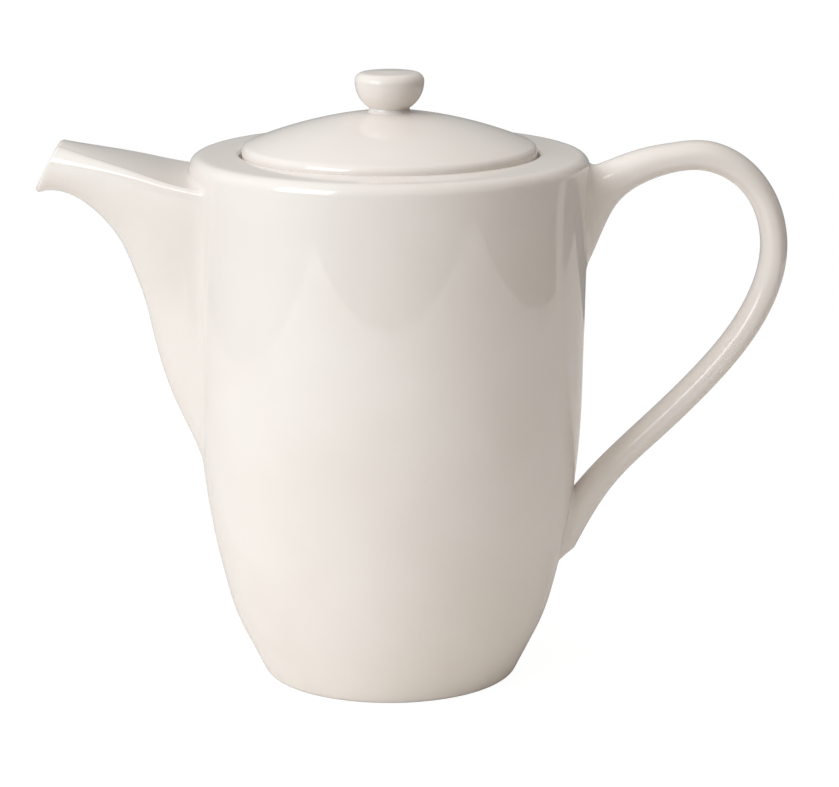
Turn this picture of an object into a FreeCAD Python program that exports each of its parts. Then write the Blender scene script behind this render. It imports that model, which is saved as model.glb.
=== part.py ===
import FreeCAD, Part
import Sketcher
import math
import os
import re

# Coffee pot of glazed porcelain, in millimetres, +Z up.
# The origin is on the pot's axis, in the plane of its foot. The spout points to -X, the handle to +X.
# Five clay pieces: pot_body, spout, handle, lid and lid_knob. Only the lid, with its knob, lifts off.

Vector = FreeCAD.Vector

sizes = [
    # Pot body: heights are above the foot plane, radii are from the pot's axis.
    ("foot_radius", 37.6, "outer edge of the foot before rounding"),
    ("foot_inner_radius", 31.0, "inner edge of the foot ring"),
    ("foot_recess", 2.5, "depth of the recess inside the foot ring"),
    ("floor_thickness", 4.0, "clay above the foot recess"),
    ("flare_radius", 44.4, "outer radius at the top of the flare above the foot"),
    ("flare_height", 13.6, "height of the top of the flare above the foot"),
    ("knee_radius", 48.3, "outer radius at the top of the tight curve above the flare"),
    ("knee_height", 23.6, "height of the top of the tight curve above the flare"),
    ("wall_radius", 57.5, "outer radius at the foot of the straight wall"),
    ("wall_height", 85.0, "height of the foot of the straight wall"),
    ("shoulder_radius", 59.1, "outer radius at the top of the wall"),
    ("shoulder_height", 158.0, "height of the shoulder's outer edge"),
    ("wall", 3.8, "thickness of the pot's wall"),
    ("gallery_radius", 44.2, "radius of the recess that holds the lid"),
    ("gallery_rise", 0.7, "rise of the shoulder from its outer edge to the gallery"),
    ("gallery_depth", 3.0, "depth of the lid's seat below the gallery's lip"),
    ("seat_thickness", 4.5, "clay under the lid's seat"),
    ("throat_radius", 39.6, "radius of the opening below the lid's seat"),
    ("shoulder_edge_radius", 3.5, "rounding of the shoulder's outer edge"),
    ("lip_edge_radius", 1.4, "rounding of the gallery's lip"),
    ("foot_edge_radius", 3.0, "rounding of the foot's outer edge"),
    ("floor_corner_radius", 8.0, "rounding where the floor meets the wall inside"),
    ("pour_half_width", 9.0, "half the width of the opening behind the spout"),
    ("pour_low_height", 96.0, "lower end of the opening behind the spout"),
    ("pour_high_height", 140.0, "upper end of the opening behind the spout"),
    # Lid: it hangs on the gallery's seat, its flange in the throat.
    ("lid_gap", 1.2, "radial gap between the lid's rim and the gallery"),
    ("flange_gap", 1.0, "radial gap between the lid's flange and the throat"),
    ("flange_wall", 3.2, "thickness of the lid's flange"),
    ("flange_depth", 12.0, "depth of the flange below the seat"),
    ("rim_thickness", 4.8, "height of the lid's rim above the seat"),
    ("rim_edge_radius", 1.8, "rounding of the rim's upper edge"),
    ("dome_rise", 10.0, "rise of the dome from the rim to the knob's seat"),
    ("dome_radius", 205.0, "radius of the dome's bulge, seen in section"),
    ("lid_wall", 4.0, "thickness of the lid under the knob"),
    # Knob: heights are above its seat on the lid's crown.
    ("knob_foot_radius", 6.6, "radius of the knob's foot on the lid"),
    ("knob_waist_radius", 5.9, "radius of the knob's waist"),
    ("knob_waist_height", 1.0, "height of the knob's waist"),
    ("knob_radius", 10.25, "widest radius of the knob"),
    ("knob_widest_height", 9.0, "height where the knob is widest"),
    ("knob_rim_radius", 3.0, "rounding of the knob's upper rim"),
    ("knob_crown_rise", 0.5, "rise of the knob's crown above its rim"),
    # Spout: reaches are from the pot's axis towards -X.
    ("spout_root_height", 69.5, "height where the spout's keel leaves the wall"),
    ("spout_reach", 105.0, "reach of the mouth's lower lip"),
    ("spout_lip_height", 146.2, "height of the mouth's lower lip"),
    ("spout_top_height", 151.57, "height of the spout's flat top at the wall"),
    ("mouth_reach", 97.4, "reach of the mouth's upper lip"),
    ("mouth_height", 161.4, "height of the mouth's upper lip"),
    ("spout_half_width", 24.0, "half the spout's width at its root"),
    ("mouth_half_width", 10.4, "half the width of the mouth"),
    ("spout_edge_radius", 2.6, "rounding of the flat top's edges"),
    ("spout_wall", 3.2, "thickness of the spout's wall"),
    ("mouth_edge_radius", 1.2, "rounding of the mouth's outer rim"),
    ("spout_root_fillet", 5.0, "fillet of slip between the spout and the wall"),
    # Handle: reaches are from the pot's axis towards +X.
    ("handle_reach", 117.9, "reach of the handle's outermost face"),
    ("handle_top_height", 161.75, "height of the handle's crown"),
    ("handle_low_height", 50.1, "height of the handle's middle line at the lower root"),
    ("handle_thickness", 7.9, "thickness of the handle seen from the side"),
    ("handle_width", 13.0, "width of the handle seen from its end"),
    ("handle_root_depth", 30.6, "height of the upper root on the wall"),
    ("slip_film", 0.05, "film of slip between the pot's wall and what is luted to it"),
    ("cut_margin", 2.0, "overshoot of cuts past the faces they open"),
]

doc = FreeCAD.newDocument("coffee_pot")
sheet = doc.addObject("Spreadsheet::Sheet", "Sizes")
for row, (alias, value, meaning) in enumerate(sizes, start=1):
    sheet.set("A%d" % row, meaning)
    sheet.set("B%d" % row, str(value))
    sheet.setAlias("B%d" % row, alias)
doc.recompute()
aliases = {alias for alias, value, meaning in sizes}


def bound(text):
    return re.sub(r"[a-z_]+", lambda word: "Sizes." + word[0] if word[0] in aliases else word[0], text)


def measure(text):
    return float(sheet.evalExpression(bound(text)))


# Heights that more than one piece lines up with.
LIP = "shoulder_height + gallery_rise"
SEAT = LIP + " - gallery_depth"
CROWN = SEAT + " + rim_thickness + dome_rise"
FLOOR = "foot_recess + floor_thickness"

# Outer radius of the leaning wall where the spout's flat top meets it.
WALL_LEAN = "(shoulder_radius - wall_radius) / (shoulder_height - wall_height)"
TOP_WALL = "wall_radius + (spout_top_height - wall_height) * " + WALL_LEAN


def new_sketch(body, name, role):
    sketch = body.newObject("Sketcher::SketchObject", name)
    plane = [feature for feature in body.Origin.OriginFeatures if feature.Role == role][0]
    sketch.AttachmentSupport = [(plane, "")]
    sketch.MapMode = "FlatFace"
    return sketch


def set_point(sketch, geometry, vertex, across, up):
    for kind, axis, text in (("DistanceX", -2, across), ("DistanceY", -1, up)):
        if text == "0":
            sketch.addConstraint(Sketcher.Constraint("PointOnObject", geometry, vertex, axis))
            continue
        index = sketch.addConstraint(Sketcher.Constraint(kind, -1, 1, geometry, vertex, measure(text)))
        sketch.setExpression("Constraints[%d]" % index, bound(text))


def draw_profile(sketch, corners, arcs):
    # A closed outline through the corners. An arc starts at the corner whose number it is listed under,
    # and its rule is one of: tangent to the piece before, tangent to the piece after, centre at a
    # stated height, centre on the axis, or a stated radius.
    points = [Vector(measure(across), measure(up), 0) for across, up in corners]
    count = len(points)

    def ends(i):
        return points[i % count], points[(i + 1) % count]

    def centre(i):
        start, end = ends(i)
        rule, text = arcs[i % count]
        middle = (start + end) * 0.5
        chord = end - start
        side = Vector(-chord.y, chord.x, 0).normalize()
        if rule == "before":
            return tangent_centre(start, end, direction(i - 1, "end"))
        if rule == "after":
            return tangent_centre(end, start, direction(i + 1, "start"))
        if rule == "height":
            return middle + side * ((measure(text) - middle.y) / side.y)
        if rule == "axis":
            return middle - side * (middle.x / side.x)
        return middle + side * math.sqrt(measure(text) ** 2 - chord.Length ** 2 / 4)

    def tangent_centre(touch, other, along):
        normal = Vector(-along.y, along.x, 0)
        gap = other - touch
        return touch + normal * (gap.dot(gap) / (2 * normal.dot(gap)))

    def direction(i, which):
        start, end = ends(i)
        if i % count not in arcs:
            return end - start
        spoke = (end if which == "end" else start) - centre(i)
        along = Vector(-spoke.y, spoke.x, 0)
        return along if along.dot(end - start) > 0 else along * -1

    first_vertex = []
    for i in range(count):
        start, end = ends(i)
        if i not in arcs:
            sketch.addGeometry(Part.LineSegment(start, end), False)
            first_vertex.append(1)
            continue
        middle = centre(i)
        turn = (start - middle).cross(end - middle).z > 0
        low, high = (start, end) if turn else (end, start)
        angles = [math.atan2(point.y - middle.y, point.x - middle.x) for point in (low, high)]
        circle = Part.Circle(middle, Vector(0, 0, 1), (start - middle).Length)
        sketch.addGeometry(Part.ArcOfCircle(circle, angles[0], angles[1]), False)
        first_vertex.append(1 if turn else 2)

    for i in range(count):
        after = (i + 1) % count
        joint = (i, 3 - first_vertex[i], after, first_vertex[after])
        smooth = arcs.get(i, ("", ""))[0] == "after" or arcs.get(after, ("", ""))[0] == "before"
        sketch.addConstraint(Sketcher.Constraint("Tangent" if smooth else "Coincident", *joint))
        set_point(sketch, i, first_vertex[i], *corners[i])
        rule, text = arcs.get(i, ("", ""))
        if rule == "height":
            index = sketch.addConstraint(Sketcher.Constraint("DistanceY", -1, 1, i, 3, measure(text)))
            sketch.setExpression("Constraints[%d]" % index, bound(text))
        if rule == "axis":
            sketch.addConstraint(Sketcher.Constraint("PointOnObject", i, 3, -2))
        if rule == "radius":
            index = sketch.addConstraint(Sketcher.Constraint("Radius", i, measure(text)))
            sketch.setExpression("Constraints[%d]" % index, bound(text))


def turned(body, kind, name, corners, arcs):
    sketch = new_sketch(body, name + "Profile", "XZ_Plane")
    draw_profile(sketch, corners, arcs)
    feature = body.newObject(kind, name)
    feature.Profile = sketch
    feature.ReferenceAxis = (sketch, ["V_Axis"])
    feature.Angle = 360
    doc.recompute()
    return feature


def rings(shape, across, up):
    # The circular edges of a turned shape at this radius and height.
    found = []
    for number, edge in enumerate(shape.Edges, start=1):
        if edge.Degenerated or edge.Curve.TypeId != "Part::GeomCircle":
            continue
        if abs(edge.Curve.Radius - measure(across)) < 1e-4 and abs(edge.Curve.Center.z - measure(up)) < 1e-4:
            found.append("Edge%d" % number)
    return found


def rounded(body, base, name, radius, corner):
    fillet = body.newObject("PartDesign::Fillet", name)
    fillet.Base = (base, rings(base.Shape, *corner))
    fillet.setExpression("Radius", bound(radius))
    doc.recompute()
    return fillet


# Pot body: the outer form first, because the spout and the handle are cut to it.
pot = doc.addObject("PartDesign::Body", "pot_body")
outer_corners = [
    ("0", "0"),
    ("foot_radius", "0"),
    ("flare_radius", "flare_height"),
    ("knee_radius", "knee_height"),
    ("wall_radius", "wall_height"),
    ("shoulder_radius", "shoulder_height"),
    ("gallery_radius", LIP),
    ("0", LIP),
]
outer_arcs = {2: ("after", ""), 3: ("after", "")}
outer_form = turned(pot, "PartDesign::Revolution", "OuterForm", outer_corners, outer_arcs)
shoulder_corner = ("shoulder_radius", "shoulder_height")
shoulder_edge = rounded(pot, outer_form, "ShoulderEdge", "shoulder_edge_radius", shoulder_corner)
pot_form = rounded(pot, shoulder_edge, "FootEdge", "foot_edge_radius", ("foot_radius", "0"))

under = SEAT + " - seat_thickness"
cavity_corners = [
    ("0", LIP + " + cut_margin"),
    ("gallery_radius", LIP + " + cut_margin"),
    ("gallery_radius", SEAT),
    ("throat_radius", SEAT),
    ("throat_radius", under),
    ("shoulder_radius - wall", under),
    ("wall_radius - wall", "wall_height"),
    ("knee_radius - wall", "knee_height"),
    ("foot_radius", FLOOR),
    ("0", FLOOR),
]
cavity = turned(pot, "PartDesign::Groove", "Cavity", cavity_corners, {6: ("before", ""), 7: ("before", "")})
recess_corners = [
    ("0", "0 - cut_margin"),
    ("foot_inner_radius", "0 - cut_margin"),
    ("foot_inner_radius", "foot_recess"),
    ("0", "foot_recess"),
]
foot_ring = turned(pot, "PartDesign::Groove", "FootRing", recess_corners, {})
lip_edge = rounded(pot, foot_ring, "LipEdge", "lip_edge_radius", ("gallery_radius", LIP))
rounded(pot, lip_edge, "FloorCorner", "floor_corner_radius", ("foot_radius", FLOOR))

# The pour opening is a slot with round ends through the wall behind the spout.
slot = new_sketch(pot, "PourOpeningProfile", "YZ_Plane")
half = measure("pour_half_width")
low = measure("pour_low_height + pour_half_width")
high = measure("pour_high_height - pour_half_width")
upper_end = Part.Circle(Vector(0, high, 0), Vector(0, 0, 1), half)
lower_end = Part.Circle(Vector(0, low, 0), Vector(0, 0, 1), half)
slot.addGeometry(Part.ArcOfCircle(upper_end, 0, math.pi), False)
slot.addGeometry(Part.LineSegment(Vector(-half, high, 0), Vector(-half, low, 0)), False)
slot.addGeometry(Part.ArcOfCircle(lower_end, math.pi, 2 * math.pi), False)
slot.addGeometry(Part.LineSegment(Vector(half, low, 0), Vector(half, high, 0)), False)
for before, after in ((0, 1), (1, 2), (2, 3), (3, 0)):
    slot.addConstraint(Sketcher.Constraint("Tangent", before, 2, after, 1))
set_point(slot, 0, 3, "0", "pour_high_height - pour_half_width")
set_point(slot, 2, 3, "0", "pour_low_height + pour_half_width")
width = slot.addConstraint(Sketcher.Constraint("Radius", 0, half))
slot.setExpression("Constraints[%d]" % width, bound("pour_half_width"))
pour_opening = pot.newObject("PartDesign::Pocket", "PourOpening")
pour_opening.Profile = slot
pour_opening.setExpression("Length", bound("shoulder_radius + cut_margin"))
doc.recompute()

# Lid: dome, rim and flange in one turned outline.
lid = doc.addObject("PartDesign::Body", "lid")
rim = "gallery_radius - lid_gap"
flange = "throat_radius - flange_gap"
lid_corners = [
    ("0", CROWN + " - lid_wall"),
    (flange + " - flange_wall", SEAT),
    (flange + " - flange_wall", SEAT + " - flange_depth"),
    (flange, SEAT + " - flange_depth"),
    (flange, SEAT),
    (rim, SEAT),
    (rim, SEAT + " + rim_thickness"),
    ("knob_foot_radius", CROWN),
    ("0", CROWN),
]
lid_arcs = {0: ("axis", ""), 6: ("radius", "dome_radius")}
lid_form = turned(lid, "PartDesign::Revolution", "LidForm", lid_corners, lid_arcs)
rounded(lid, lid_form, "RimEdge", "rim_edge_radius", (rim, SEAT + " + rim_thickness"))

# Knob: a cup on a short waist, its flank and its rim both upright where it is widest.
knob = doc.addObject("PartDesign::Body", "lid_knob")
widest = CROWN + " + knob_widest_height"
knob_corners = [
    ("0", CROWN),
    ("knob_foot_radius", CROWN),
    ("knob_waist_radius", CROWN + " + knob_waist_height"),
    ("knob_radius", widest),
    ("knob_radius - knob_rim_radius", widest + " + knob_rim_radius"),
    ("0", widest + " + knob_rim_radius + knob_crown_rise"),
]
knob_arcs = {2: ("height", widest), 3: ("height", widest), 4: ("axis", "")}
turned(knob, "PartDesign::Revolution", "KnobForm", knob_corners, knob_arcs)


def standing(edges, origin, along):
    # Sets a flat outline on the plane through the origin, its own Y along the given direction.
    wire = Part.Wire(edges)
    across = Vector(0, 1, 0)
    turn = FreeCAD.Rotation(across, along, across.cross(along), "XYZ")
    wire.Placement = FreeCAD.Placement(origin, turn)
    return wire


def stretched_arc(half_width, length, start, end):
    # Part of an oval about the outline's origin, from a unit circle.
    scale = FreeCAD.Matrix()
    scale.scale(Vector(half_width, length, 1))
    circle = Part.Circle(Vector(0, 0, 0), Vector(0, 0, 1), 1)
    return Part.ArcOfCircle(circle, start, end).toShape().transformGeometry(scale).Edges[0]


# Spout stations, from the root to the mouth. Each gives the keel's way out from the wall to the lip and
# its way up from the root to the lip, then the back's way out from the wall to the mouth and its way up
# from the root to the flat top, and the width's way from the mouth's to the root's, all as shares.
spout_stations = [
    (-0.14, -0.07, -0.598, -0.10, 0.85),
    (0.16, 0.197, -0.598, 0.24, 0.95),
    (0.26, 0.404, -0.598, 0.53, 1.00),
    (0.32, 0.577, -0.505, 0.85, 1.08),
    (0.385, 0.698, -0.266, 1.00, 1.20),
    (0.46, 0.81, 0.025, 1.00, 1.02),
    (0.58, 0.91, 0.336, 1.00, 0.72),
    (0.78, 1.00, 0.689, 1.00, 0.35),
    (1.00, 1.00, 1.00, 1.00, 0.00),
]


def between(low, high, share):
    return measure(low) + share * (measure(high) - measure(low))


def spout_ring(station, inset, shift):
    # A flat back with rounded corners and half an oval for the sides and the keel.
    keel_out, keel_up, back_out, back_up, wideness = station
    keel_reach = between("wall_radius", "spout_reach", keel_out)
    keel_height = between("spout_root_height", "spout_lip_height", keel_up)
    back_reach = between(TOP_WALL, "mouth_reach", back_out)
    root = measure("spout_root_height")
    back_height = root + back_up * (between("spout_top_height", "mouth_height", back_out) - root)
    back = Vector(-back_reach, 0, back_height)
    along = Vector(-keel_reach, 0, keel_height) - back
    corner = measure("spout_edge_radius")
    length = along.Length - corner - 2 * inset
    along.normalize()
    half_width = between("mouth_half_width", "spout_half_width", wideness) - inset
    flat = half_width - corner

    def corner_arc(side):
        low, high = (math.pi, 1.5 * math.pi) if side < 0 else (1.5 * math.pi, 2 * math.pi)
        circle = Part.Circle(Vector(side * flat, 0, 0), Vector(0, 0, 1), corner)
        return Part.ArcOfCircle(circle, low, high).toShape()

    edges = [
        stretched_arc(half_width, length, 0, math.pi),
        corner_arc(-1),
        Part.LineSegment(Vector(-flat, -corner, 0), Vector(flat, -corner, 0)).toShape(),
        corner_arc(1),
    ]
    forward = Vector(0, 1, 0).cross(along)
    return standing(edges, back + along * (inset + corner) + forward * shift, along)


def loft(wires):
    return Part.makeLoft(wires, True, False, False, 3)


def edges_on(shape, curves):
    # The edges of a shape whose middles lie on the given curves.
    def middle(edge):
        return Part.Vertex(edge.valueAt((edge.FirstParameter + edge.LastParameter) / 2))
    return [edge for edge in shape.Edges if curves.distToShape(middle(edge))[0] < 1e-3]


# The pot's form, grown by the film of slip, trims the roots of the spout and of the handle.
# Above the shoulder it goes on as the room that the lid lifts through.
trim = pot_form.Shape.copy()
trim.scale(measure("1 + slip_film / wall_radius"), Vector(0, 0, measure("shoulder_height / 2")))
shoulder_flat_radius = measure("shoulder_radius - shoulder_edge_radius")
lid_room_start = Vector(0, 0, measure("shoulder_height - shoulder_edge_radius"))
trim = trim.fuse(Part.makeCylinder(shoulder_flat_radius, measure(CROWN), lid_room_start))

# Spout: the blank is joined to the pot's form with a fillet all round, trimmed and hollowed.
spout_blank = loft([spout_ring(station, 0, 0) for station in spout_stations])
joined = pot_form.Shape.fuse(spout_blank)
root_edges = edges_on(joined, pot_form.Shape.section(spout_blank))
rooted = joined.makeFillet(measure("spout_root_fillet"), root_edges)
spout_wall = measure("spout_wall")
channel_rings = [spout_ring(station, spout_wall, 0) for station in spout_stations[1:]]
channel_rings.append(spout_ring(spout_stations[-1], spout_wall, measure("cut_margin")))
hollow = rooted.cut(trim).cut(loft(channel_rings))
rim_edges = edges_on(hollow, spout_ring(spout_stations[-1], 0, 0))
spout = doc.addObject("Part::Feature", "spout")
spout.Shape = hollow.makeFillet(measure("mouth_edge_radius"), rim_edges)

# Handle stations, from the upper root to the lower one. Each gives the middle line's way out from the wall
# to the outermost point and up from the lower root to the crown, as shares, its slope in degrees, and
# how far the thickness has grown towards the upper root's depth.
handle_stations = [
    (-0.13, 0.796, 0, 1.33),
    (0.02, 0.831, 0, 0.955),
    (0.083, 0.877, 0, 0.65),
    (0.162, 0.928, 0, 0.304),
    (0.281, 0.963, 0, 0.119),
    (0.471, 0.992, 8, 0.025),
    (0.63, 0.9963, -2, 0.035),
    (0.857, 0.936, -45, 0.01),
    (1.0, 0.756, -90, 0),
    (0.893, 0.549, -117.7, 0),
    (0.644, 0.374, -133, 0),
    (0.387, 0.237, -135.6, 0),
    (0.124, 0.098, -130.7, 0),
    (-0.014, 0, -121, 0),
    (-0.12, -0.097, -118, 0),
]


def handle_ring(out, up, slope, flare):
    reach = between("wall_radius", "handle_reach - handle_thickness / 2", out)
    crown = "handle_top_height - handle_thickness / 2"
    height = between("handle_low_height", crown, up)
    half_depth = between("handle_thickness", "handle_root_depth", flare) / 2
    lean = math.radians(slope)
    along = Vector(-math.sin(lean), 0, math.cos(lean))
    oval = stretched_arc(measure("handle_width") / 2, half_depth, 0, 2 * math.pi)
    return standing([oval], Vector(reach, 0, height), along)


handle_blank = loft([handle_ring(*station) for station in handle_stations])
handle = doc.addObject("Part::Feature", "handle")
handle.Shape = handle_blank.cut(trim)

# Every object is sound before anything is written.
doc.recompute()
pieces = [pot, spout, handle, lid, knob]
for item in doc.Objects:
    if "Invalid" in item.State or "Error" in item.State:
        raise RuntimeError("%s did not build: %s" % (item.Name, item.State))
for piece in pieces:
    solids = piece.Shape.Solids
    if piece.Shape.isNull() or not piece.Shape.isValid() or len(solids) != 1:
        raise RuntimeError("%s is not one sound solid" % piece.Name)

os.makedirs("parts", exist_ok=True)
for piece in pieces:
    piece.Label = piece.Name
    piece.Shape.exportStep("parts/%s.step" % piece.Label)
    box = piece.Shape.optimalBoundingBox(True, False)
    print("%-9s %9.0f mm3  x %.1f %.1f  y %.1f %.1f  z %.1f %.1f" % (
        piece.Label, piece.Shape.Volume, box.XMin, box.XMax, box.YMin, box.YMax, box.ZMin, box.ZMax))
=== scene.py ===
import math

import bmesh
import bpy
import numpy
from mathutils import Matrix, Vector


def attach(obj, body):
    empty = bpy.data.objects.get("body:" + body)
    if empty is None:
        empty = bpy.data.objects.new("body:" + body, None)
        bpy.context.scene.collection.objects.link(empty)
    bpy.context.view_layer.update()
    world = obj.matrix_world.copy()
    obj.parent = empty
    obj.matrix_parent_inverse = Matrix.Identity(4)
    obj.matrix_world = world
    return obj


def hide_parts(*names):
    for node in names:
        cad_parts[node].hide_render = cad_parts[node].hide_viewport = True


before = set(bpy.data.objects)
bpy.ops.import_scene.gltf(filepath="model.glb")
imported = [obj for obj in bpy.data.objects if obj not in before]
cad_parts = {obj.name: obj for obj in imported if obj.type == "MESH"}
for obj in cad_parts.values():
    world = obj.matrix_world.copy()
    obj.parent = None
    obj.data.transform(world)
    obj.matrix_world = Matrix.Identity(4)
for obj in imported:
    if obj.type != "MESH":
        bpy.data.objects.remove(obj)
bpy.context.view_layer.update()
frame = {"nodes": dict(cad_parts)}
mm = 0.001
scene = bpy.context.scene
print("frame loaded:", ", ".join(frame["nodes"]))

# how finely every piece is made
making = {
    "straightCuts": 6, "bulgeCuts": 24, "cornerCuts": 8,  # cuts in each stretch of a turned outline
    "mergeGap": 0.002,  # mm, points nearer than this become one
    "walkStep": 0.05,  # rings, how finely a line of a flow is walked along
    "sharpAngle": 40,  # degrees, edges sharper than this stay sharp
}


# sRGB hex to the linear colour that shader sockets take
def linear(hexColour):
    channels = [int(hexColour[i:i + 2], 16) / 255 for i in (1, 3, 5)]
    return [c / 12.92 if c <= 0.04045 else ((c + 0.055) / 1.055) ** 2.4 for c in channels] + [1]


# adds a node, sets its sockets or properties, and links the sockets given as name, output pairs
def addNode(tree, kind, settings=(), links=()):
    node = tree.nodes.new(kind)
    for name, value in settings:
        if isinstance(name, int) or name in node.inputs:
            node.inputs[name].default_value = value
        else:
            setattr(node, name, value)
    for name, output in links:
        tree.links.new(output, node.inputs[name])
    return node


def newMaterial(name):
    material = bpy.data.materials.new(name)
    material.use_nodes = True
    material.node_tree.nodes.clear()
    return material, material.node_tree


# a line of points with its first stretch of a given length taken off
def cutBack(leg, reach):
    for k in range(len(leg) - 1):
        step = (leg[k + 1] - leg[k]).length
        if step > reach:
            return [leg[k].lerp(leg[k + 1], reach / step)] + leg[k + 1:]
        reach -= step
    return leg[-1:]


# Corners of an outline in the XZ plane, from axis to axis: radius, height, rounding, bulge to the next one.
# A bulge is how high a parabola stands over the middle of its chord.
def outlinePoints(corners):
    legs = []
    for here, there in zip(corners, corners[1:]):
        start, chord, bulge = Vector(here[:2]), Vector(there[:2]) - Vector(here[:2]), here[3]
        side = Vector((chord.y, -chord.x)).normalized()
        cuts = making["bulgeCuts"] if bulge else making["straightCuts"]
        legs.append([start + chord * (k / cuts) + side * bulge * 4 * (k / cuts) * (1 - k / cuts)
                     for k in range(cuts + 1)])
    points = list(legs[0])
    for corner, leg in zip(corners[1:], legs[1:]):
        rounding = corner[2]
        if not rounding:
            points += leg[1:]
            continue
        came = (points[-1] - points[-2]).normalized()
        goes = (leg[1] - leg[0]).normalized()
        turn = came.angle(goes)
        reach = rounding * math.tan(turn / 2)
        points = cutBack(points[::-1], reach)[::-1]
        leg = cutBack(leg, reach)
        # a cubic curve whose handles make it follow the arc
        pull = rounding * 4 / 3 * math.tan(turn / 4)
        start, end = points[-1], leg[0]
        startHandle, endHandle = start + came * pull, end - goes * pull
        for k in range(1, making["cornerCuts"]):
            t = k / making["cornerCuts"]
            points.append(start * (1 - t) ** 3 + startHandle * 3 * t * (1 - t) ** 2
                          + endHandle * 3 * t * t * (1 - t) + end * t ** 3)
        points += leg
    return points


# doubled points become one, and all faces point outwards
def closeUp():
    bpy.ops.mesh.select_all(action="SELECT")
    bpy.ops.mesh.remove_doubles(threshold=making["mergeGap"] * mm)
    bpy.ops.mesh.select_all(action="SELECT")
    bpy.ops.mesh.normals_make_consistent(inside=False)


# A single vertex is extruded along the outline, and the line is spun about the pot's axis.
def turnPiece(name, points, steps):
    bpy.ops.object.select_all(action="DESELECT")
    bpy.ops.mesh.primitive_plane_add(size=mm, location=(0, 0, 0))
    piece = bpy.context.object
    piece.name = name
    bpy.ops.object.mode_set(mode="EDIT")
    bpy.ops.mesh.select_all(action="SELECT")
    bpy.ops.mesh.merge(type="CENTER")
    bpy.ops.transform.translate(value=(points[0].x * mm, 0, points[0].y * mm))
    for here, there in zip(points, points[1:]):
        step = (there - here) * mm
        bpy.ops.mesh.extrude_vertices_move(TRANSFORM_OT_translate={"value": (step.x, 0, step.y)})
    bpy.ops.mesh.select_all(action="SELECT")
    bpy.ops.mesh.spin(steps=steps, angle=2 * math.pi, center=(0, 0, 0), axis=(0, 0, 1))
    closeUp()
    bpy.ops.object.mode_set(mode="OBJECT")
    return piece


# The first ring is a circle, and each further ring is extruded from the last one and set in its place.
def ringPiece(name, rows, capped):
    bpy.ops.object.select_all(action="DESELECT")
    bpy.ops.mesh.primitive_circle_add(vertices=len(rows[0]), radius=mm, location=(0, 0, 0))
    piece = bpy.context.object
    piece.name = name
    bpy.ops.object.mode_set(mode="EDIT")
    bpy.ops.mesh.select_all(action="SELECT")
    mesh = bmesh.from_edit_mesh(piece.data)
    order = {vert.index: i for i, vert in enumerate(mesh.verts)}
    for vert in mesh.verts:
        vert.co = rows[0][order[vert.index]] * mm
    if capped:
        bpy.ops.mesh.edge_face_add()
        bpy.ops.mesh.select_all(action="SELECT")
    for row in rows[1:]:
        bpy.ops.mesh.extrude_edges_move()
        mesh = bmesh.from_edit_mesh(piece.data)
        mesh.verts.index_update()
        fresh = [vert for vert in mesh.verts if vert.select]
        # a new vertex has the number, round the ring, of the old one that it came from
        came = {}
        for vert in fresh:
            others = [edge.other_vert(vert) for edge in vert.link_edges]
            old = [other for other in others if not other.select][0]
            came[vert.index] = order[old.index]
        for vert in fresh:
            vert.co = row[came[vert.index]] * mm
        order = came
        bmesh.update_edit_mesh(piece.data)
    if capped:
        bpy.ops.mesh.edge_face_add()
    closeUp()
    bpy.ops.object.mode_set(mode="OBJECT")
    return piece


# how far along a line of points each of them lies
def placesAlong(points):
    places = [0]
    for here, there in zip(points, points[1:]):
        places.append(places[-1] + (there - here).length)
    return places


# how sharply each value bends at each station, for a cubic spline whose first two and last two spans run on
def stationBends(places, stations):
    last = len(places) - 1
    gaps = numpy.diff(places)
    slopes = numpy.diff(stations, axis=0) / gaps[:, None]
    shares, turns = numpy.zeros((last + 1, last + 1)), numpy.zeros(numpy.shape(stations))
    for i in range(1, last):
        shares[i, i - 1:i + 2] = gaps[i - 1], 2 * (gaps[i - 1] + gaps[i]), gaps[i]
        turns[i] = 6 * (slopes[i] - slopes[i - 1])
    shares[0, :3] = gaps[1], -gaps[0] - gaps[1], gaps[0]
    shares[last, -3:] = gaps[-1], -gaps[-2] - gaps[-1], gaps[-2]
    return numpy.linalg.solve(shares, turns)


# values between stations, on that spline
def alongStations(places, stations, bends, t):
    last = len(places) - 1
    i = max(0, min(last - 1, sum(1 for place in places[1:-1] if place <= t)))
    span = places[i + 1] - places[i]
    after = (t - places[i]) / span
    before = 1 - after
    values = []
    for column in range(len(stations[0])):
        straight = before * stations[i][column] + after * stations[i + 1][column]
        bow = (before ** 3 - before) * bends[i][column] + (after ** 3 - after) * bends[i + 1][column]
        values.append(straight + bow * span * span / 6)
    return values


# the pot's body, in mm: a turned form with a hollow foot, a seat for the lid and a slot behind the spout
potBody = {
    "footRadius": 37.6, "footInner": 31.0, "footRecess": 2.5, "footRounding": 3.0, "floorHeight": 6.5,
    "kneeRadius": 46.9, "kneeHeight": 18.6, "kneeRounding": 60.0, "wallRadius": 57.5, "wallHeight": 85.0,
    "wallBulge": 2.27, "shoulderRadius": 59.1, "shoulderHeight": 158.0, "shoulderRounding": 3.5,
    "lipRadius": 44.2, "lipHeight": 158.7, "lipRounding": 1.4, "seatHeight": 155.7, "throatRadius": 39.6,
    "underSeat": 151.2, "wall": 3.8, "softEdge": 0.7, "floorRounding": 8.0, "turnSteps": 160,
    "slotWidth": 18.0, "slotLow": 96.0, "slotHigh": 140.0, "slotDepth": 15.2,
    "slotRoundness": 0.498,  # a share of its width: just under half, for round ends
    "slotCuts": 10,
}


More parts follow.
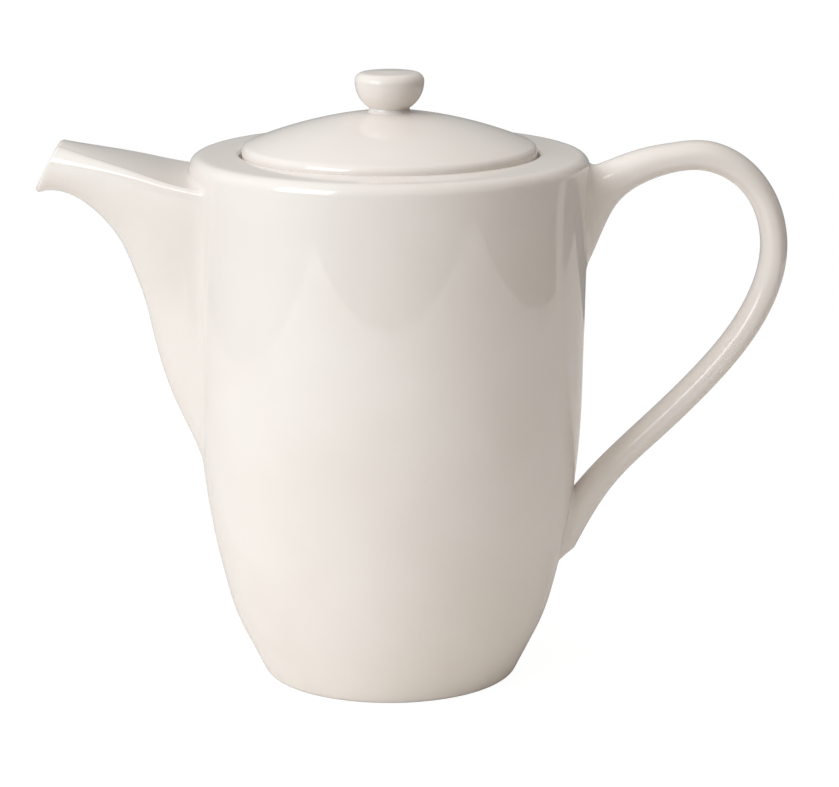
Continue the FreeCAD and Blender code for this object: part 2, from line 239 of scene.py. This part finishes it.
# the slot that lets coffee into the spout
def cutSlot(piece, p):
    reach, height = p["shoulderRadius"] - p["wall"], p["slotHigh"] - p["slotLow"]
    bpy.ops.object.select_all(action="DESELECT")
    bpy.ops.mesh.primitive_cube_add(size=1, location=(-reach * mm, 0, (p["slotLow"] + height / 2) * mm))
    cutter = bpy.context.object
    cutter.scale = (p["slotDepth"] * mm, p["slotWidth"] * mm, height * mm)
    bpy.ops.object.transform_apply(location=True, rotation=True, scale=True)
    bpy.ops.object.mode_set(mode="EDIT")
    bpy.ops.mesh.select_all(action="DESELECT")
    mesh = bmesh.from_edit_mesh(cutter.data)
    for edge in mesh.edges:
        edge.select = abs(edge.verts[0].co.x - edge.verts[1].co.x) > mm
    bpy.ops.mesh.bevel(offset=p["slotWidth"] * p["slotRoundness"] * mm, segments=p["slotCuts"])
    bpy.ops.object.mode_set(mode="OBJECT")
    bpy.ops.object.select_all(action="DESELECT")
    bpy.context.view_layer.objects.active = piece
    piece.select_set(True)
    slot = piece.modifiers.new("pourSlot", "BOOLEAN")
    slot.operation = "DIFFERENCE"
    slot.solver = "EXACT"
    slot.object = cutter
    bpy.ops.object.modifier_apply(modifier=slot.name)
    bpy.data.objects.remove(cutter)


def makePotBody(p):
    foot = [(0, p["footRecess"], 0, 0), (p["footInner"], p["footRecess"], p["softEdge"], 0)]
    outer = [
        (p["footInner"], 0, p["softEdge"], 0),
        (p["footRadius"], 0, p["footRounding"], 0),
        (p["kneeRadius"], p["kneeHeight"], p["kneeRounding"], p["wallBulge"]),
        (p["wallRadius"], p["wallHeight"], 0, 0),
        (p["shoulderRadius"], p["shoulderHeight"], p["shoulderRounding"], 0),
        (p["lipRadius"], p["lipHeight"], p["lipRounding"], 0),
    ]
    inner = [
        (p["lipRadius"], p["seatHeight"], p["softEdge"], 0),
        (p["throatRadius"], p["seatHeight"], p["softEdge"], 0),
        (p["throatRadius"], p["underSeat"], p["softEdge"], 0),
        (p["shoulderRadius"] - p["wall"], p["underSeat"], p["floorRounding"], 0),
        (p["wallRadius"] - p["wall"], p["wallHeight"], 0, -p["wallBulge"]),
        (p["kneeRadius"] - p["wall"], p["kneeHeight"], p["kneeRounding"] / 2, 0),
        (p["footRadius"], p["floorHeight"], p["floorRounding"], 0),
        (0, p["floorHeight"], 0, 0),
    ]
    piece = turnPiece("potBodyGlazed", outlinePoints(foot + outer + inner), p["turnSteps"])
    cutSlot(piece, p)
    return piece, outlinePoints(outer)


potPiece, potWall = makePotBody(potBody)
print("pot body turned")


# how far the outside of the pot's wall is from the axis at a height
def wallRadius(height):
    for low, high in zip(potWall, potWall[1:]):
        if low.y <= height < high.y:
            return low.x + (high.x - low.x) * (height - low.y) / (high.y - low.y)
    return potWall[-1].x


# how far a point is outside the wall, below zero when it is inside
def outside(point):
    return math.hypot(point.x, point.y) - wallRadius(point.z)


# a point moved straight towards or from the axis, to a depth under the wall's outside
def sunkOnWall(point, depth):
    radius = wallRadius(point.z) - depth
    share = radius / math.hypot(point.x, point.y)
    return Vector((point.x * share, point.y * share, point.z))


# Spout and handle start as a flow of rings that runs out through the wall. This is where line u of the flow
# crosses the wall, walking from one end of the flow: a place along it, counted in rings. A line that ends
# short of the wall is measured against its far end, deep inside, and so runs on a little past its last ring.
def wallCrossing(flow, u, end, step):
    k = end
    while outside(flow[k][u]) < 0:
        k += step
    low, high = flow[(k - step) % len(flow)][u], flow[k][u]
    share = outside(low) / (outside(low) - outside(high))
    return k - step + step * share


# the point at a place on line u of a flow
def onFlow(flow, u, place):
    k = max(0, min(len(flow) - 2, int(place)))
    return flow[k][u].lerp(flow[k + 1][u], place - k)


# Rows of a fillet from the wall up onto a flow of rings, tangent to both. Also where it ends on each line.
def rootRows(flow, crossings, reaches, step, rowCount, sink):
    count = len(crossings)
    meets = [onFlow(flow, u, crossings[u]) for u in range(count)]
    middle = sum(meets, Vector()) / count
    fine = making["walkStep"] * step
    ends, onto, away = [], [], []
    for u in range(count):
        place, left = crossings[u], reaches[u]
        here = onFlow(flow, u, place)
        while left > 0:
            there = onFlow(flow, u, place + fine)
            left -= (there - here).length
            place, here = place + fine, there
        ends.append(place)
        onto.append(here)
        rim = meets[(u + 1) % count] - meets[u - 1]
        wallNormal = Vector((meets[u].x, meets[u].y, 0))
        outwards = wallNormal.cross(rim).normalized()
        if outwards.dot(meets[u] - middle) < 0:
            outwards.negate()
        away.append(sunkOnWall(meets[u] + outwards * reaches[u], sink))
    rows = []
    for k in range(rowCount):
        t = k / rowCount
        rows.append([away[u] * (1 - t) ** 2 + meets[u] * 2 * t * (1 - t) + onto[u] * t * t
                     for u in range(count)])
    return rows, ends


# the spout, in mm: its shape runs through stations, given as shares of the ways from the wall to the mouth
spout = {
    "rootHeight": 69.5, "reach": 105.0, "lipHeight": 146.2, "topHeight": 151.2, "mouthReach": 97.4,
    "mouthHeight": 161.4, "halfWidth": 24.0, "mouthHalfWidth": 10.4, "edgeRounding": 1.3, "tipRounding": 4.6,
    "edgeSupport": 0.2, "drawIn": 0.18, "crown": 0.7, "wall": 3.2, "lipWall": 2.4, "lipTaper": 12.8,
    "rimBack": 1.2, "sideFillet": 6.0, "topFillet": 1.4, "keelFillet": 7.5, "sink": 0.06, "innerSink": 0.32,
    # points and rows, and how often which rows are eased
    "flatPoints": 10, "cornerPoints": 8, "ovalPoints": 60, "flowSteps": 140, "filletRows": 10,
    "outerRows": 44, "lipCuts": 8, "innerRows": 24, "easing": 20, "easedRows": (3, 23),
    # keel out, keel up, back out, back up, wideness
    "stations": [
        (-0.14, -0.07, -0.54, -0.10, 0.85),
        (0.16, 0.197, -0.54, 0.24, 0.95),
        (0.26, 0.404, -0.54, 0.53, 1.00),
        (0.32, 0.577, -0.45, 0.85, 1.08),
        (0.385, 0.698, -0.22, 1.00, 1.20),
        (0.46, 0.81, 0.06, 1.00, 1.02),
        (0.58, 0.91, 0.36, 1.00, 0.72),
        (0.78, 1.00, 0.70, 1.00, 0.35),
        (1.00, 1.00, 1.00, 1.00, 0.00),
    ],
}


# the lowest and the highest point of the spout's ring at a station
def keelAndBack(p, station):
    keelOut, keelUp, backOut, backUp = station[:4]
    wall, root = potBody["wallRadius"], p["rootHeight"]
    top = p["topHeight"] + backOut * (p["mouthHeight"] - p["topHeight"])
    keel = Vector((-wall - keelOut * (p["reach"] - wall), 0, root + keelUp * (p["lipHeight"] - root)))
    back = Vector((-wall - backOut * (p["mouthReach"] - wall), 0, root + backUp * (top - root)))
    return keel, back


# One ring of the spout, set in by a wall or by nothing: a slightly crowned back with rounded edges, then half
# an oval for the sides and the keel, with the sides drawn in below the edges.
def spoutRing(p, station, inset):
    keel, back = keelAndBack(p, station)
    backOut, wideness = station[2], station[4]
    corner = p["edgeRounding"] + (p["tipRounding"] - p["edgeRounding"]) * max(0, backOut) ** 2
    along = keel - back
    length = along.length - corner - 2 * inset
    along.normalize()
    half = p["mouthHalfWidth"] + wideness * (p["halfWidth"] - p["mouthHalfWidth"]) - inset
    flat, support = half - corner, p["edgeSupport"]
    side = []
    for k in range(p["flatPoints"] + 1):
        share = k / p["flatPoints"]
        side.append((-corner - p["crown"] * (1 - share * share), (flat - support) * share))
    for k in range(p["cornerPoints"]):
        angle = math.pi / 2 * k / p["cornerPoints"]
        side.append((-corner * math.cos(angle), flat + corner * math.sin(angle)))
    side += [(0, half), (support, half * (1 - p["drawIn"] * support / length))]
    for k in range(1, p["ovalPoints"] // 2):
        angle = math.pi * k / p["ovalPoints"]
        drawIn = 1 - p["drawIn"] * math.sin(angle)
        side.append((length * math.sin(angle), half * math.cos(angle) * drawIn))
    ring = side + [(length, 0)] + [(down, -across) for down, across in side[:0:-1]]
    start = back + along * (inset + corner)
    return [start + along * down + Vector((0, across, 0)) for down, across in ring]


# how far the fillet reaches at each point of the root: little at the back, more at the sides and the keel
def spoutFillets(p, meets):
    low, high = min(point.z for point in meets), max(point.z for point in meets)
    reaches = []
    for point in meets:
        rise = (point.z - low) / (high - low)
        end = p["topFillet"] if rise > 0.5 else p["keelFillet"]
        share = math.sin(math.pi * rise) ** 0.5 if 0 < rise < 1 else 0
        reaches.append(end + (p["sideFillet"] - end) * share)
    return reaches


# the fillet's end is eased into the sides, and not into the back
def easeSides(p, rows, reaches):
    first, last = p["easedRows"]
    shares = [(reach - p["topFillet"]) / (p["sideFillet"] - p["topFillet"]) for reach in reaches]
    for again in range(p["easing"]):
        for k in range(first, last + 1):
            for u, share in enumerate(shares):
                middle = (rows[k - 1][u] + rows[k + 1][u]) / 2
                rows[k][u] = rows[k][u].lerp(middle, min(1, share) / 2)


# the half-round lip between the outer and the inner rim of the mouth
def lipRows(p, flow, hollow):
    outerRim, innerRim = flow[-1], hollow[-1]
    across = (outerRim[1] - outerRim[0]).normalized()
    down = (outerRim[len(outerRim) // 2] - outerRim[0]).normalized()
    forward = across.cross(down).normalized()
    if forward.dot(sum(outerRim, Vector()) - sum(flow[-2], Vector())) < 0:
        forward.negate()
    rows = []
    for k in range(1, p["lipCuts"]):
        angle = math.pi * k / p["lipCuts"]
        bump = forward * p["lipWall"] / 2 * math.sin(angle)
        rows.append([(a + b) / 2 + (a - b) / 2 * math.cos(angle) + bump for a, b in zip(outerRim, innerRim)])
    return rows


def makeSpout(p):
    middles = [sum(keelAndBack(p, station), Vector()) / 2 for station in p["stations"]]
    places = placesAlong(middles)
    bends = stationBends(places, p["stations"])
    mouth, steps = places[-1] - p["rimBack"], p["flowSteps"]
    flow, hollow = [], []
    for k in range(steps + 1):
        t = mouth * k / steps
        station = alongStations(places, p["stations"], bends, t)
        inset = p["lipWall"] + (p["wall"] - p["lipWall"]) * min(1, (mouth - t) / p["lipTaper"])
        flow.append(spoutRing(p, station, 0))
        hollow.append(spoutRing(p, station, inset))
    count = len(flow[0])
    outerMeets = [wallCrossing(flow, u, 0, 1) for u in range(count)]
    innerMeets = [wallCrossing(hollow, u, 0, 1) for u in range(count)]
    reaches = spoutFillets(p, [onFlow(flow, u, outerMeets[u]) for u in range(count)])
    rows, ends = rootRows(flow, outerMeets, reaches, 1, p["filletRows"], p["sink"])
    for k in range(p["outerRows"] + 1):
        share = k / p["outerRows"]
        rows.append([onFlow(flow, u, ends[u] + (steps - ends[u]) * share) for u in range(count)])
    easeSides(p, rows, reaches)
    rows += lipRows(p, flow, hollow)
    for k in range(p["innerRows"] + 1):
        share = k / p["innerRows"]
        rows.append([onFlow(hollow, u, steps - (steps - innerMeets[u]) * share) for u in range(count)])
    rows[-1] = [sunkOnWall(point, p["innerSink"]) for point in rows[-1]]
    rows.append(rows[0])
    return ringPiece("spoutGlazed", rows, False)


spoutPiece = makeSpout(spout)
print("spout drawn out")


# the handle, in mm: an oval strap whose middle line runs through stations, flared where it joins the wall
handle = {
    "reach": 117.9, "topHeight": 161.75, "lowHeight": 50.1, "thickness": 7.9, "width": 13.0,
    "rootDepth": 30.6, "fullness": 0.86,  # 1 is a plain oval, and less is squarer
    "upperFillet": 1.6, "upperSideFillet": 5.0, "lowerFillet": 0.6, "lowerSideFillet": 4.0, "sink": 0.06,
    "ovalPoints": 80, "flowSteps": 440, "filletRows": 8, "strapRows": 240,
    # out, up, slope in degrees, flare
    "stations": [
        (-0.13, 0.796, 0, 1.33),
        (0.02, 0.831, 0, 0.955),
        (0.083, 0.873, 0, 0.62),
        (0.162, 0.924, 0, 0.285),
        (0.281, 0.963, 0, 0.119),
        (0.471, 0.992, 8, 0.025),
        (0.63, 0.9963, -2, 0.035),
        (0.857, 0.936, -45, 0.01),
        (1.0, 0.756, -90, 0),
        (0.893, 0.549, -117.7, 0),
        (0.644, 0.374, -133, 0),
        (0.387, 0.237, -135.6, 0),
        (0.124, 0.098, -130.7, 0.015),
        (-0.014, 0, -121, 0.08),
        (-0.12, -0.097, -118, 0.12),
    ],
}


# the strap's middle line at a station
def strapMiddle(p, station):
    wall, low = potBody["wallRadius"], p["lowHeight"]
    far, crown = p["reach"] - p["thickness"] / 2, p["topHeight"] - p["thickness"] / 2
    return Vector((wall + station[0] * (far - wall), 0, low + station[1] * (crown - low)))


# one ring of the strap, square to its slope
def strapRing(p, station):
    slope, flare = math.radians(station[2]), station[3]
    along = Vector((-math.sin(slope), 0, math.cos(slope)))
    depth = (p["thickness"] + flare * (p["rootDepth"] - p["thickness"])) / 2
    ring = []
    for k in range(p["ovalPoints"]):
        angle = 2 * math.pi * k / p["ovalPoints"]
        up, across = [math.copysign(abs(part) ** p["fullness"], part)
                      for part in (math.sin(angle), math.cos(angle))]
        ring.append(strapMiddle(p, station) + along * depth * up + Vector((0, p["width"] / 2 * across, 0)))
    return ring


def makeHandle(p):
    places = placesAlong([strapMiddle(p, station) for station in p["stations"]])
    bends = stationBends(places, p["stations"])
    steps, count = p["flowSteps"], p["ovalPoints"]
    times = [places[-1] * k / steps for k in range(steps + 1)]
    flow = [strapRing(p, alongStations(places, p["stations"], bends, t)) for t in times]
    upper = [wallCrossing(flow, u, 0, 1) for u in range(count)]
    lower = [wallCrossing(flow, u, steps, -1) for u in range(count)]
    # slip fills the sides of a root more than its ends
    sideways = [abs(math.cos(2 * math.pi * u / count)) for u in range(count)]

    def fillets(end, side):
        return [end + (side - end) * share for share in sideways]

    upperReaches = fillets(p["upperFillet"], p["upperSideFillet"])
    lowerReaches = fillets(p["lowerFillet"], p["lowerSideFillet"])
    rows, starts = rootRows(flow, upper, upperReaches, 1, p["filletRows"], p["sink"])
    lowRows, ends = rootRows(flow, lower, lowerReaches, -1, p["filletRows"], p["sink"])
    for k in range(p["strapRows"] + 1):
        share = k / p["strapRows"]
        rows.append([onFlow(flow, u, starts[u] + (ends[u] - starts[u]) * share) for u in range(count)])
    rows += lowRows[::-1]
    return ringPiece("handleGlazed", rows, True)


handlePiece = makeHandle(handle)
print("handle drawn out")


# the lid, in mm: a shallow dome with a rolled rim and a flange that hangs in the throat
lid = {
    "rimRadius": 43.6, "rimHeight": 160.5, "rimRounding": 2.3, "crownRadius": 6.6, "crownHeight": 170.5,
    "domeBulge": 1.3, "seatHeight": 155.7, "flangeOuter": 38.6, "flangeInner": 35.4, "flangeLow": 143.7,
    "underCrown": 166.5, "underBulge": -2.6, "softEdge": 0.8, "turnSteps": 160,
}


def makeLid(p):
    corners = [
        (0, p["underCrown"], 0, p["underBulge"]),
        (p["flangeInner"], p["seatHeight"], 2 * p["softEdge"], 0),
        (p["flangeInner"], p["flangeLow"], p["softEdge"], 0),
        (p["flangeOuter"], p["flangeLow"], p["softEdge"], 0),
        (p["flangeOuter"], p["seatHeight"], p["softEdge"] / 2, 0),
        (p["rimRadius"], p["seatHeight"], p["softEdge"], 0),
        (p["rimRadius"], p["rimHeight"], p["rimRounding"], p["domeBulge"]),
        (p["crownRadius"], p["crownHeight"], 0, 0),
        (0, p["crownHeight"], 0, 0),
    ]
    return turnPiece("lidGlazed", outlinePoints(corners), p["turnSteps"])


lidPiece = makeLid(lid)
print("lid turned")


# the knob, in mm, heights above the crown of the lid: a cup on a short waist, with a cove at its foot
knob = {
    "coveRadius": 9.0, "coveHeight": -0.55, "footRadius": 6.0, "footHeight": 0.05, "coveRounding": 1.6,
    "waistRadius": 5.9, "waistHeight": 1.2, "radius": 10.25, "widestHeight": 9.0, "flankBulge": 1.15,
    "rimRounding": 2.574, "topHeight": 11.5, "crownRise": 0.5, "turnSteps": 112,
}


def makeKnob(p):
    base = lid["crownHeight"]
    corners = [
        (0, base + p["coveHeight"], 0, 0),
        (p["coveRadius"], base + p["coveHeight"], 0, 0),
        (p["footRadius"], base + p["footHeight"], p["coveRounding"], 0),
        (p["waistRadius"], base + p["waistHeight"], 0, p["flankBulge"]),
        (p["radius"], base + p["widestHeight"], 0, 0),
        (p["radius"], base + p["topHeight"], p["rimRounding"], 0),
        (0, base + p["topHeight"] + p["crownRise"], 0, 0),
    ]
    return turnPiece("knobGlazed", outlinePoints(corners), p["turnSteps"])


knobPiece = makeKnob(knob)
print("knob turned")


# Glazed porcelain, slip cast: a clear gloss glaze over a warm white body. It gives mirror-like highlights
# with a slow wave in them, a faint change of warmth where the glaze lies thicker, and dry biscuit where it
# stands.
# Sizes are in mm: how wide the pools of thicker glaze and the waves are, how deep the waves, and how far up
# the clay is dry. The glaze goes from thin to thick between two levels of the pools' noise.
porcelain = {
    "body": "#f2ebe4", "thick": "#eee6de", "biscuit": "#e6ddd0", "roughness": 0.015, "dryRoughness": 0.55,
    "ior": 1.55, "poolSize": 38.0, "poolThin": 0.35, "poolThick": 0.65, "waveSize": 17.0, "waveDepth": 0.006,
    "dryHeight": 0.25,
}


# A Mix node's sockets go by number: 0 is the share, 2 and 3 are its values and 6 and 7 its colours. Its
# outputs are 0 for the value and 2 for the colour.
def porcelainMaterial(p):
    material, tree = newMaterial("porcelainWarmWhiteGlaze")
    place = addNode(tree, "ShaderNodeTexCoord").outputs["Object"]
    pools = addNode(tree, "ShaderNodeTexNoise", [("Scale", 1 / (p["poolSize"] * mm)), ("Detail", 2)],
                    [("Vector", place)])
    poolShare = addNode(tree, "ShaderNodeMapRange",
                        [("From Min", p["poolThin"]), ("From Max", p["poolThick"])],
                        [("Value", pools.outputs["Fac"])])
    colour = addNode(tree, "ShaderNodeMix",
                     [("data_type", "RGBA"), (6, linear(p["body"])), (7, linear(p["thick"]))],
                     [(0, poolShare.outputs["Result"])])
    # the foot ring's underside is left dry
    height = addNode(tree, "ShaderNodeSeparateXYZ", [], [("Vector", place)]).outputs["Z"]
    dry = addNode(tree, "ShaderNodeMath", [("operation", "LESS_THAN"), (1, p["dryHeight"] * mm)],
                  [(0, height)])
    clay = addNode(tree, "ShaderNodeMix", [("data_type", "RGBA"), (7, linear(p["biscuit"]))],
                   [(0, dry.outputs["Value"]), (6, colour.outputs[2])])
    gloss = addNode(tree, "ShaderNodeMix", [(2, p["roughness"]), (3, p["dryRoughness"])],
                    [(0, dry.outputs["Value"])])
    waves = addNode(tree, "ShaderNodeTexNoise", [("Scale", 1 / (p["waveSize"] * mm)), ("Detail", 1)],
                    [("Vector", place)])
    bump = addNode(tree, "ShaderNodeBump", [("Strength", 1), ("Distance", p["waveDepth"] * mm)],
                   [("Height", waves.outputs["Fac"])])
    shader = addNode(tree, "ShaderNodeBsdfPrincipled", [("IOR", p["ior"])],
                     [("Base Color", clay.outputs[2]), ("Roughness", gloss.outputs[0]),
                      ("Normal", bump.outputs["Normal"])])
    addNode(tree, "ShaderNodeOutputMaterial", [], [("Surface", shader.outputs["BSDF"])])
    return material


glaze = porcelainMaterial(porcelain)
pieces = [
    (potPiece, "pot", "pot_body"), (spoutPiece, "pot", "spout"), (handlePiece, "pot", "handle"),
    (lidPiece, "lid", "lid"), (knobPiece, "lid", "lid_knob"),
]
for piece, body, node in pieces:
    bpy.ops.object.select_all(action="DESELECT")
    piece.select_set(True)
    bpy.context.view_layer.objects.active = piece
    bpy.ops.object.shade_smooth_by_angle(angle=math.radians(making["sharpAngle"]))
    piece.data.materials.clear()
    piece.data.materials.append(glaze)
    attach(piece, body)
    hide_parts(node)
print("porcelain glazed")


# the table top, in metres: pale and plain, white to the eye, with a soft shadow, and its edge is mirrored in
# the glaze
stage = {"at": (0.05, -0.01, 0), "size": 1.0, "colour": "#f8f4ef", "white": 0.9, "glow": 1.07}


def makeFloor(p):
    bpy.ops.object.select_all(action="DESELECT")
    bpy.ops.mesh.primitive_plane_add(size=p["size"], location=p["at"])
    floor = bpy.context.object
    floor.name = "floor"
    material, tree = newMaterial("paleFloor")
    path = addNode(tree, "ShaderNodeLightPath")
    share = addNode(tree, "ShaderNodeMath", [("operation", "MULTIPLY"), (1, p["white"])],
                    [(0, path.outputs["Is Camera Ray"])])
    paint = addNode(tree, "ShaderNodeBsdfDiffuse", [("Color", linear(p["colour"]))])
    glow = addNode(tree, "ShaderNodeEmission", [("Color", (1, 1, 1, 1)), ("Strength", p["glow"])])
    mixed = addNode(tree, "ShaderNodeMixShader", [],
                    [(0, share.outputs[0]), (1, paint.outputs[0]), (2, glow.outputs[0])])
    addNode(tree, "ShaderNodeOutputMaterial", [], [("Surface", mixed.outputs[0])])
    floor.data.materials.append(material)


makeFloor(stage)


# the room: white where it is seen, and as light brighter towards one side, given as a direction
room = {"brightSide": (-0.76, 0.16, 0.63), "bright": "#ffffff", "dim": "#453926", "fill": 0.55}


def makeRoom(p):
    world = bpy.data.worlds.new("studio")
    scene.world = world
    world.use_nodes = True
    tree = world.node_tree
    tree.nodes.clear()
    path = addNode(tree, "ShaderNodeLightPath")
    seen = addNode(tree, "ShaderNodeBackground", [("Color", (1, 1, 1, 1)), ("Strength", 1)])
    towards = addNode(tree, "ShaderNodeTexCoord").outputs["Generated"]
    brightSide = Vector(p["brightSide"]).normalized()
    side = addNode(tree, "ShaderNodeVectorMath", [("operation", "DOT_PRODUCT"), (1, brightSide)],
                   [(0, towards)])
    share = addNode(tree, "ShaderNodeMapRange", [("From Min", -1), ("From Max", 1)],
                    [("Value", side.outputs["Value"])])
    light = addNode(tree, "ShaderNodeMix",
                    [("data_type", "RGBA"), (6, linear(p["dim"])), (7, linear(p["bright"]))],
                    [(0, share.outputs["Result"])])
    fill = addNode(tree, "ShaderNodeBackground", [("Strength", p["fill"])], [("Color", light.outputs[2])])
    mixed = addNode(tree, "ShaderNodeMixShader", [],
                    [(0, path.outputs["Is Camera Ray"]), (1, fill.outputs[0]), (2, seen.outputs[0])])
    addNode(tree, "ShaderNodeOutputWorld", [], [("Surface", mixed.outputs[0])])


makeRoom(room)

# soft boxes, in metres: where each stands, where it points, its width and height, its power and its colour,
# and whether the glaze mirrors it
lamps = [
    {"name": "keyBox", "at": (-0.833, -0.699, 0.607), "to": (0, 0, 0.1), "size": (0.7, 0.7), "watts": 7.5,
     "colour": "#eff7ff", "mirrored": True},
    {"name": "topBox", "at": (-0.1, -0.3, 1.2), "to": (0, -0.1, 0), "size": (1.2, 1.2), "watts": 5.8,
     "colour": "#fffbf7", "mirrored": False},
    {"name": "sideCard", "at": (0.86, 0.53, 0.5), "to": (0, 0, 0.1), "size": (0.24, 1.0), "watts": 0.22,
     "colour": "#fff0de", "mirrored": True},
]
for lamp in lamps:
    light = bpy.data.lights.new(lamp["name"], "AREA")
    light.shape = "RECTANGLE"
    light.size, light.size_y = lamp["size"]
    light.energy = lamp["watts"]
    light.color = linear(lamp["colour"])[:3]
    box = bpy.data.objects.new(lamp["name"], light)
    scene.collection.objects.link(box)
    box.location = lamp["at"]
    box.visible_glossy = lamp["mirrored"]
    box.visible_camera = False
    box.rotation_euler = (Vector(lamp["to"]) - Vector(lamp["at"])).to_track_quat("-Z", "Y").to_euler()
print("studio lit")

# the camera looks a little down on the pot, from the side: metres, degrees, and mm for lens and sensor
camera = {"at": (0.00882, -0.95, 0.30555), "pitch": 13.05, "lens": 139.46, "sensor": 36}
eye = bpy.data.cameras.new("camera")
eye.lens = camera["lens"]
eye.sensor_width = camera["sensor"]
eyeObject = bpy.data.objects.new("camera", eye)
scene.collection.objects.link(eyeObject)
eyeObject.location = camera["at"]
eyeObject.rotation_euler = (math.radians(90 - camera["pitch"]), 0, 0)
scene.camera = eyeObject
scene.view_settings.view_transform = "Standard"
